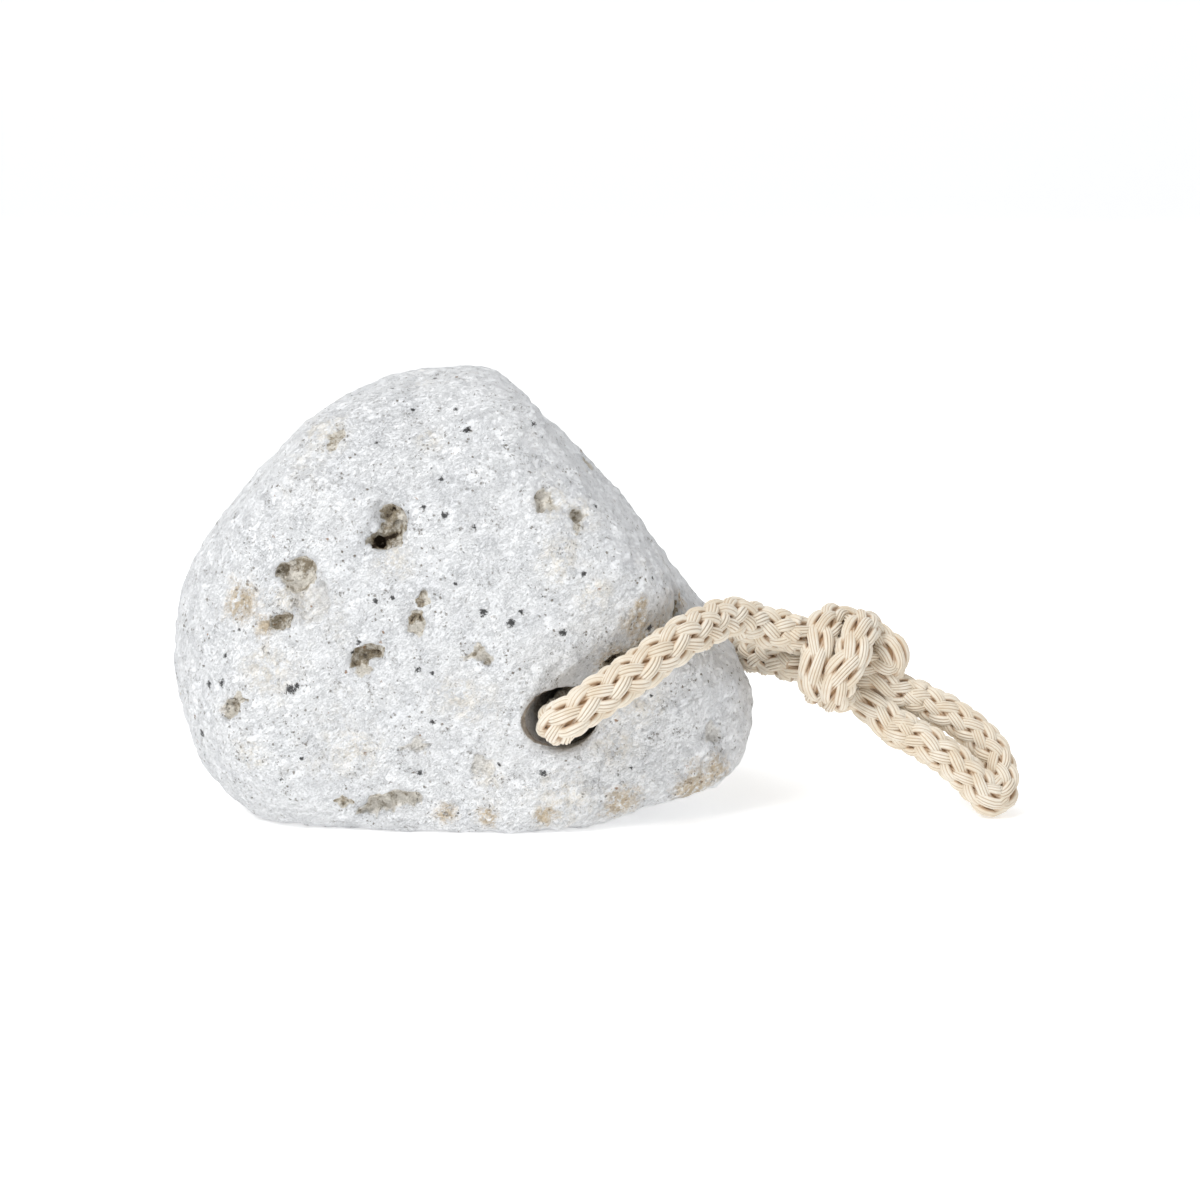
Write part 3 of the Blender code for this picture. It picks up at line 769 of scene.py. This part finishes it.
for number in range(len(pits)):
    near, share, sink = pit_shares(points, number)
    points[near] += (sink * share * MM)[:, None] * grounds[number][3]
set_corners(stone, points)
apply_modifier(stone, 'REMESH', mode='VOXEL', voxel_size=FINE_GRAIN)
apply_modifier(stone, 'SMOOTH', factor=0.5, iterations=1)
points = corners(stone)
for end in DRILL_ENDS:
    _, short, ground = at_drill_end(*end, points)
    distance, away = around_drill(points)
    rim = (np.abs(distance - DRILL_RADIUS) < RIM_CATCH) & (np.abs(short) < 2 * RIM_CATCH)
    points[rim] += ((DRILL_RADIUS - distance[rim]) * MM)[:, None] * away[rim]
    points[rim] += (short[rim] * MM)[:, None] * ground[3]
    print("the rim at", end[0], "degrees has", int(rim.sum()), "points")
set_corners(stone, points)
print("the fine surface has", len(stone.data.vertices), "points")

# %% What each point of the surface is
COARSE_FROM, COARSE_TO = 8.0, 22.0  # mm: the ground is rougher towards the nose
# The mark of the hole is its painted shade, on the wall inside it.
DRILL_EDGE = 0.50  # mm: how far the mark of the hole fades each way

points = corners(stone)
in_pit = np.zeros(len(points))
dark = np.zeros(len(points))
# dark holds each pit's darkness: its raw glass's tone and its painted shade
for number, (_, _, darkness, _) in enumerate(pits):
    near, share, _ = pit_shares(points, number)
    in_pit[near] = np.maximum(in_pit[near], share)
    dark[near] += (darkness - dark[near]) * share
# drilled is 1 on the hole's wall, where it gets a painted shade
inwards = DRILL_RADIUS - around_drill(points)[0]
drilled = np.clip(0.5 + inwards / (2 * DRILL_EDGE), 0, 1)
coarse = smooth_step(COARSE_FROM, COARSE_TO, points[:, 0] / MM)
print("share of the surface inside pits:", round(float((in_pit > 0.5).mean()), 3))

# %% Roughness in the mesh
# (size in mm, height in mm): the worn outside, and the raw inside of the pits
WORN = [(6.0, 0.28), (2.6, 0.24), (1.4, 0.22)]
RAW = [(1.7, 0.60), (1.0, 0.50)]
LEDGE_SIZE = 3.2  # mm
LEDGE_HEIGHT = 0.36  # mm
LEDGE_LEAN = math.radians(35)  # above level, from left to right
LEDGE_STRETCH = 3.0
LEDGE_LEVEL = 0.3  # of their crests, as a share of the height
COARSE_GAIN = 0.3  # how much rougher the coarse end is
RAW_SINK = 0.1  # raw ground lies this share lower
LEAST_PIT = 0.02  # points that belong less than this to a pit aren't raw
DRILL_CALM = 0.8  # share of the roughness that the drill took away
PORES = 1400
PORE_SIZES = (0.35, 0.70)  # radius in mm
PORE_DEPTH, PORE_WIDTH = 0.5, 0.62  # as shares of that radius
PORE_REACH = 1.6  # radii from its middle to where it ends


def ragged(point, size, number):
    """Smooth noise from about -1 to 1, for features of one size in mm."""
    return noise.noise(Vector(point) / (size * MM) + Vector((1.7, 9.2, 3.3)) * number)


def ledge(point):
    """Sharp-crested folds of the glass froth, drawn out along one slanting direction."""
    along = point[0] * math.cos(LEDGE_LEAN) + point[2] * math.sin(LEDGE_LEAN)
    across = point[2] * math.cos(LEDGE_LEAN) - point[0] * math.sin(LEDGE_LEAN)
    place = Vector((along / LEDGE_STRETCH, point[1], across)) / (LEDGE_SIZE * MM)
    return LEDGE_LEVEL - abs(noise.noise(place))


stone.data.update()
normals = np.empty(len(points) * 3, np.float32)
stone.data.vertices.foreach_get("normal", normals)
normals = normals.reshape(-1, 3).astype(float)
lift = np.zeros(len(points))
for index, point in enumerate(points):
    worn = sum(height * ragged(point, size, 1) for size, height in WORN)
    worn = (worn + LEDGE_HEIGHT * ledge(point)) * (1 + COARSE_GAIN * coarse[index])
    raw = 0.0
    if in_pit[index] > LEAST_PIT:
        raw = sum(height * (ragged(point, size, 2) - RAW_SINK) for size, height in RAW)
    calm = 1 - DRILL_CALM * smooth_step(-2 * DRILL_EDGE, 0, inwards[index])
    lift[index] = worn * calm * (1 - in_pit[index]) + raw * in_pit[index]

draw = np.random.default_rng(11)
likely = 0.5 + coarse
for index in draw.choice(len(points), PORES, replace=False, p=likely / likely.sum()):
    radius = draw.uniform(*PORE_SIZES)
    apart = np.linalg.norm(points - points[index], axis=1) / MM
    near = apart < radius * PORE_REACH
    lift[near] -= PORE_DEPTH * radius * np.exp(-(apart[near] / (PORE_WIDTH * radius)) ** 2)
moved = points + normals * lift[:, None] * MM
moved[:, 2] = np.maximum(moved[:, 2], 0)
set_corners(stone, moved)
stone.data.shade_smooth()
for kind, values in (("pit", in_pit), ("dark", dark), ("drilled", drilled), ("coarse", coarse)):
    store_values(stone.data, kind, values)
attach(stone, "root")
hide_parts("pumice_stone")
print(stone.name, "has", triangles(stone), "triangles")

# %% [markdown]
# ## Materials as expressions
#
# A material is a tree of nodes. Trees are easier to read as sums, so one small class wraps a
# socket, and Python's operators on it add Math nodes. Colours are mixed with Mix nodes, because
# a Math node would turn a colour grey.

# %% A socket that Python can add up
class Wire:
    """One output socket of a node tree."""

    def __init__(self, tree, socket=None):
        self.tree, self.socket = tree, socket

    def node(self, kind, settings=(), inputs=(), output=0):
        """Add a node of any kind to the tree, and return one of its outputs."""
        node = self.tree.nodes.new("ShaderNode" + kind)
        for name, value in dict(settings).items():
            setattr(node, name, value)
        for key, value in dict(inputs).items():
            if isinstance(value, Wire):
                self.tree.links.new(value.socket, node.inputs[key])
            else:
                node.inputs[key].default_value = value
        return Wire(self.tree, node.outputs[output])

    def maths(self, operation, *values):
        return self.node("Math", {"operation": operation}, dict(enumerate(values)))

    def __add__(self, other):
        return self.maths('ADD', self, other)

    __radd__ = __add__

    def __sub__(self, other):
        return self.maths('SUBTRACT', self, other)

    def __rsub__(self, other):
        return self.maths('SUBTRACT', other, self)

    def __mul__(self, other):
        return self.maths('MULTIPLY', self, other)

    def step(self, low, high):
        """0 below low and 1 above high, smooth between them."""
        return self.node("MapRange", {"interpolation_type": 'SMOOTHSTEP'},
                         {0: self, 1: low, 2: high})

    def mix(self, without, with_it):
        """A colour that goes from one to the other as this goes from 0 to 1."""
        return self.node("Mix", {"data_type": 'RGBA'}, {0: self, 6: without, 7: with_it}, 2)


def start_material(name):
    """A new material's tree and its shader node."""
    material = bpy.data.materials.new(name)
    material.use_nodes = True
    return material, Wire(material.node_tree), material.node_tree.nodes["Principled BSDF"]


def connect(wire, shader, socket):
    wire.tree.links.new(wire.socket, shader.inputs[socket])


def stored(tree, names):
    """The numbers kept under some names for each point of the mesh."""
    return [tree.node("Attribute", {"attribute_name": name}, output=2) for name in names]


def settle(shader, plain):
    """Set sockets of a shader that are the same everywhere."""
    for socket, value in plain.items():
        shader.inputs[socket].default_value = value


# %% [markdown]
# ## Pumice
#
# Pumice is a matt white glass froth. Seen close, it is a fine felt of tiny pores: a soft grey
# mottle, a scatter of black and rusty mineral grains, cream and tan stains, and brown-grey raw
# glass inside the pits. Painted shade darkens the small pores, thin creases, the wall of the
# drilled hole and the pits' slits and deepest parts, which are painted nearly black. Noise in the
# object's own space gives each of these at its real size.

# %% Places that are stained, and grains that show
# (across, height and radius in mm, as seen from the front or from the back)
CREAM_FRONT = [
    (-19.5, 59, 4.5), (-23, 35.5, 4), (14, 49.5, 3.5), (18, 48, 3), (15, 42, 4), (-4, 58.5, 2.5),
    (-9, 42, 3.5), (-28, 26, 4), (0, 22, 4), (-14, 14, 4), (-30, 13, 3), (23, 13, 4), (20, 37, 3),
    (15, 5.5, 5), (4.5, 9.5, 2.5), (26.5, 20, 4.5), (30, 33, 3.5), (-25, 36.5, 3),
]
CREAM_BACK = [(8, 30, 6), (-20, 24, 5), (30, 36, 4), (-2, 50, 4)]
TAN_FRONT = [
    (-31.5, 35, 3.5), (25.5, 32, 3), (22.5, 27, 3.5), (27, 28.5, 3), (24.5, 4.5, 3.5),
    (35, 6, 4), (38, 8, 3), (-2, 3.5, 2), (4, 3, 2), (-32.5, 19.5, 2), (27, 35, 1.5),
    (26.5, 29, 2), (29.5, 31, 2), (33, 33, 2), (-28, 32, 2), (12.5, 3, 2.0),
]
TAN_BACK = [(-12, 40, 3.5), (20, 8, 3.5)]
GRAINS = [
    (-31.5, 31, 0.3), (-34, 27, 0.3), (-36.5, 22.5, 0.5), (-34.5, 23, 0.55), (-24, 23, 0.6),
    (-23, 23.5, 0.35), (-14, 30, 0.35), (-5.5, 26, 0.45), (-15, 28.5, 0.3), (-38, 14.5, 0.55),
    (-9, 36.5, 0.3), (-11.5, 36, 0.35), (1.5, 60, 0.5), (-11.5, 58, 0.3), (11, 60.5, 0.4),
    (-2, 53.5, 0.4), (-4.5, 49.5, 0.35), (-1.5, 48.5, 0.45), (11.5, 55, 0.35), (20, 49, 0.4),
    (-5.5, 10, 0.4), (12.5, 10, 0.45), (8, 33, 0.5), (9.5, 34.5, 0.35), (4, 34.5, 0.5),
    (15.5, 31.5, 0.45), (-3.5, 18, 0.35), (28, 31, 0.45), (18.5, 40, 0.35), (-5, 36, 0.3),
]


def on_the_stone(spots, side):
    """Middles and radii in metres of spots seen along Y, from the front (-1) or the back (1)."""
    found = []
    for across, height, radius in spots:
        start = Vector((across * MM, side * FAR, height * MM))
        found.append((skin.ray_cast(start, Vector((0, -side, 0)))[0], radius * MM))
    return found


def nearest_spot(place, spots):
    """Distance to the nearest of the spots, as a share of its radius."""
    nearest = None
    for middle, radius in spots:
        apart = place.node("VectorMath", {"operation": 'DISTANCE'}, {0: place, 1: middle}, 1)
        share = apart * (1 / radius)
        nearest = share if nearest is None else nearest.maths('MINIMUM', nearest, share)
    return nearest


cream_spots = on_the_stone(CREAM_FRONT, -1) + on_the_stone(CREAM_BACK, 1)
tan_spots = on_the_stone(TAN_FRONT, -1) + on_the_stone(TAN_BACK, 1)
grain_spots = on_the_stone(GRAINS, -1)
print(len(cream_spots + tan_spots), "stains and", len(grain_spots), "large grains")

# %% Noise for a material
PER_METRE = 1000  # mm: the scale of a noise counts its features in a metre


def speckle(place, size, detail=2.0, rough=0.5):
    """Noise from 0 to 1 for features of one size in mm."""
    return place.node("TexNoise", {}, {"Vector": place, "Scale": PER_METRE / size,
                                       "Detail": detail, "Roughness": rough})


def scattered(place, wobble, cell, share, radius):
    """Ragged spots scattered at random: one in a share of the cells, all sizes in mm."""
    inputs = {"Vector": place, "Scale": PER_METRE / cell}
    apart = place.node("TexVoronoi", {}, inputs, 0) + wobble * (radius / cell)
    lot = place.node("SeparateColor", {}, {0: place.node("TexVoronoi", {}, inputs, 1)}, 0)
    edge = radius / cell
    return (1.0 - apart.step(edge * 0.7, edge * 1.1)) * lot.step(1 - share, 1 - share + 0.01)


# %% The pumice material
WHITE = (0.930, 0.937, 0.945, 1)
SHADY = (0.860, 0.870, 0.885, 1)
GREY = (0.470, 0.475, 0.480, 1)
CREAM = (0.870, 0.800, 0.680, 1)
TAN = (0.570, 0.430, 0.245, 1)
RUST = (0.330, 0.180, 0.090, 1)
# painted shade inside the small pores
PORE_PAINTED_SHADE = (0.250, 0.210, 0.165, 1)
UMBER = (0.230, 0.140, 0.075, 1)
DRILL_WALL_PAINTED_SHADE = (0.400, 0.330, 0.260, 1)
DUST = (0.270, 0.235, 0.200, 1)
BLACK = (0.030, 0.029, 0.029, 1)
RAW_PALE = (0.840, 0.795, 0.710, 1)
RAW_GREY = (0.370, 0.310, 0.225, 1)
RAW_PAINTED_SHADOW = (0.045, 0.030, 0.018, 1)
FELT_STRETCH = 1.9
FELT_DEPTH = 0.45 * MM

pumice, tree, shader = start_material("pumice")
place = tree.node("TexCoord", output=3)
felt = tree.node("Mapping", {"vector_type": 'TEXTURE'},
                 {"Vector": place, "Rotation": (0, -LEDGE_LEAN, 0),
                  "Scale": (FELT_STRETCH, 1, 1)})
pit, dark, drilled, coarse = stored(tree, ("pit", "dark", "drilled", "coarse"))

mottle = speckle(place, 6.0, 5.0, 0.65)
wobble = (speckle(place, 0.35, 4.0, 0.8) - 0.5) * 5.0
threads = speckle(felt, 0.60, 4.0, 0.80)
pores = speckle(place, 1.1, 5.0, 0.85)
grain = speckle(place, 0.40, 3.0, 0.8)
crowd = speckle(place, 5.0, 3.0).step(0.46, 0.64)
terraces = speckle(felt, 2.2, 6.0, 0.80)
flakes = terraces.step(0.46, 0.50) + terraces.step(0.56, 0.60)
chips = speckle(felt, 1.0, 5.0, 0.80).step(0.50, 0.56)
# Thin creases along the edges of the terraces: sunk a little by the bump, and given painted shade.
edges = terraces - 0.5
shaded_creases = 1.0 - edges.maths('ABSOLUTE', edges).step(0.003, 0.012)
shaded_creases = shaded_creases * speckle(place, 3.0, 3.0).step(0.44, 0.56)
pinholes = scattered(place, wobble, 0.95, 0.38, 0.18) * (0.35 + crowd * 0.65)
fine_holes = scattered(place, wobble, 0.50, 0.36, 0.10) * (0.40 + crowd * 0.60)
colour = mottle.step(0.40, 0.68).mix(WHITE, SHADY)
colour = (threads.step(0.58, 0.64) * 0.26).mix(colour, GREY)
colour = (pores.step(0.62, 0.67) * (0.42 + coarse * 0.15)).mix(colour, GREY)
# Painted shade in the thin creases.
colour = (shaded_creases * 0.42).mix(colour, GREY)
# Painted shade: the small pores and pinholes are painted dark brown.
colour = (fine_holes * 0.80).mix(colour, PORE_PAINTED_SHADE)
colour = (pinholes * 0.90).mix(colour, PORE_PAINTED_SHADE)

warp = (speckle(place, 2.4, 5.0, 0.75) - 0.5) * 2.4
broken = speckle(place, 1.6, 5.0, 0.8).step(0.40, 0.60)
cream = (1.0 - (nearest_spot(place, cream_spots) + warp).step(0.0, 1.3)) * 0.60
tan = (1.0 - (nearest_spot(place, tan_spots) + warp).step(0.2, 1.3)) * 0.78
wide_stain = speckle(place, 14.0, 6.0, 0.7).step(0.54, 0.72) * 0.35
colour = (wide_stain * broken).mix(colour, CREAM)
colour = (cream * broken).mix(colour, CREAM)
colour = (tan * speckle(place, 0.9, 5.0, 0.8).step(0.38, 0.54)).mix(colour, TAN)
colour = (tan * scattered(place, wobble, 0.8, 0.50, 0.20)).mix(colour, UMBER)

# Inside the pits: the raw glass's pale and brown-grey tones, and painted shadow, nearly black,
# where the pit's darkness with noise is highest: its slits, undercuts and deepest parts.
raw_tone_and_shade = dark + (speckle(place, 1.2, 4.0, 0.75) - 0.52) * 3.2
raw = raw_tone_and_shade.step(0.0, 0.60).mix(RAW_PALE, RAW_GREY)
raw = raw_tone_and_shade.step(0.70, 1.10).mix(raw, RAW_PAINTED_SHADOW)
raw_edge = (pit + (speckle(place, 0.6, 4.0) - 0.5) * 0.5).step(0.30, 0.55)
colour = (raw_edge * dark.step(0.0, 0.16)).mix(colour, raw)
# Painted shade on the wall of the drilled hole.
colour = (drilled.step(0.45, 0.60) * 0.9).mix(colour, DRILL_WALL_PAINTED_SHADE)

grains = 1.0 - (nearest_spot(place, grain_spots) + wobble).step(0.75, 1.15)
black = grains.maths('MAXIMUM', grains, scattered(place, wobble, 3.2, 0.14, 0.26))
black = black.maths('MAXIMUM', black, scattered(place, wobble, 1.4, 0.12, 0.15) * crowd)
dust = speckle(place, 2.2, 3.0).step(0.57, 0.64) * speckle(place, 0.6, 4.0, 0.85).step(0.55, 0.61)
colour = (dust * 0.85).mix(colour, DUST)
colour = (scattered(place, wobble, 2.6, 0.16, 0.24) * 0.85).mix(colour, RUST)
colour = (black * 0.92).mix(colour, BLACK)
connect(colour, shader, "Base Color")

connect(0.95 - black * 0.40, shader, "Roughness")
relief = (flakes * 0.20 + chips * 0.16 + threads * 0.6 + pores * 0.55 + grain * 0.25
          - shaded_creases * 0.10 - pinholes * 0.35 - black * 0.3 - dust * 0.2)
bump = tree.node("Bump", {}, {"Height": relief, "Strength": 1.0, "Distance": FELT_DEPTH})
connect(bump, shader, "Normal")
settle(shader, {"Specular IOR Level": 0.2})
stone.data.materials.append(pumice)
print("pumice has", len(pumice.node_tree.nodes), "nodes")

# %% [markdown]
# ## Cotton
#
# The cord is undyed cotton, cream on the ridges of the yarns. The grooves and the gaps of the
# braid, where light goes from yarn to yarn before it comes out, get a painted golden-brown shade.

# %% The cotton material
COTTON = (0.750, 0.655, 0.520, 1)
COTTON_PALE = (0.820, 0.755, 0.645, 1)
# the painted golden-brown shade of the grooves, the gaps and the core of the braid
COTTON_PAINTED_SHADE = (0.430, 0.225, 0.075, 1)

cotton, tree, shader = start_material("natural cotton")
place = tree.node("TexCoord", output=3)
groove, depth = stored(tree, ("groove", "depth"))
colour = speckle(place, 3.0, 4.0).step(0.35, 0.65).mix(COTTON, COTTON_PALE)
# Painted shade: golden brown in the grooves and on the undersides of the yarns, and where a strand
# dips under its neighbours
colour = (groove.step(0.3, 1.0) * 0.55).mix(colour, COTTON_PAINTED_SHADE)
colour = (depth.step(0.55, 1.0) * 0.55).mix(colour, COTTON_PAINTED_SHADE)
connect(colour, shader, "Base Color")
fibre = speckle(place, 0.16, 4.0, 0.7)
connect(tree.node("Bump", {}, {"Height": fibre, "Strength": 0.5, "Distance": 0.08 * MM}),
        shader, "Normal")
settle(shader, {"Roughness": 0.85, "Sheen Weight": 0.25, "Sheen Roughness": 0.5,
                "Specular IOR Level": 0.2})
braids = (cord_through, cord_loop, knot)
for piece in braids:
    piece.data.materials.append(cotton)
print("cotton is on", len(braids), "pieces")

# %% [markdown]
# ## Floor and light
#
# The stone stands on white paper that goes up behind it, in bright, even light. A soft light
# from the front left and a wider, weaker one overhead give the form its slight shading, and the
# white surroundings fill the rest. The paper glows a little, so that it comes out pure white.

# %% Floor
SWEEP_SIZE = 3.0  # metres
SWEEP_HEIGHT = 1.6  # metres
FLOOR_GAP = 0.05 * MM
PAPER = (0.90, 0.90, 0.90, 1)
PAPER_GLOW = 0.38

bpy.ops.object.select_all(action='DESELECT')
bpy.ops.mesh.primitive_plane_add(size=SWEEP_SIZE, location=(0, 0, -FLOOR_GAP))
sweep = bpy.context.object
sweep.name = "sweep"
bpy.ops.object.mode_set(mode='EDIT')
form = bmesh.from_edit_mesh(sweep.data)
for edge in form.edges:
    edge.select_set(all(vertex.co.y > 0 for vertex in edge.verts))
bmesh.update_edit_mesh(sweep.data)
bpy.ops.mesh.extrude_edges_move(TRANSFORM_OT_translate={"value": (0, 0, SWEEP_HEIGHT)})
bpy.ops.object.mode_set(mode='OBJECT')
bpy.ops.object.shade_smooth()
paper, tree, shader = start_material("white paper")
settle(shader, {"Base Color": PAPER, "Roughness": 0.9, "Emission Color": (1, 1, 1, 1),
                "Emission Strength": PAPER_GLOW})
sweep.data.materials.append(paper)
print("the paper has", len(sweep.data.polygons), "faces")

# %% Lights
SURROUNDINGS = (0.97, 0.985, 1, 1)
SURROUNDINGS_STRENGTH = 0.62


def soft_light(name, size, power, place):
    """A disk of light aimed at the object: its width in metres, its power in watts."""
    bpy.ops.object.light_add(type='AREA', location=place)
    light = bpy.context.object
    light.name = name
    light.data.shape = 'DISK'
    light.data.size = size
    light.data.energy = power
    light.rotation_euler = (TARGET - Vector(place)).to_track_quat('-Z', 'Y').to_euler()


soft_light("key", 0.40, 5.5, (-0.50, -0.70, 0.80))
soft_light("top", 0.60, 2.1, (-0.10, -0.10, 0.95))
world = bpy.data.worlds.new("white surroundings")
scene.world = world
world.use_nodes = True
settle(world.node_tree.nodes["Background"], {"Color": SURROUNDINGS,
                                             "Strength": SURROUNDINGS_STRENGTH})
scene.view_settings.view_transform = 'Standard'
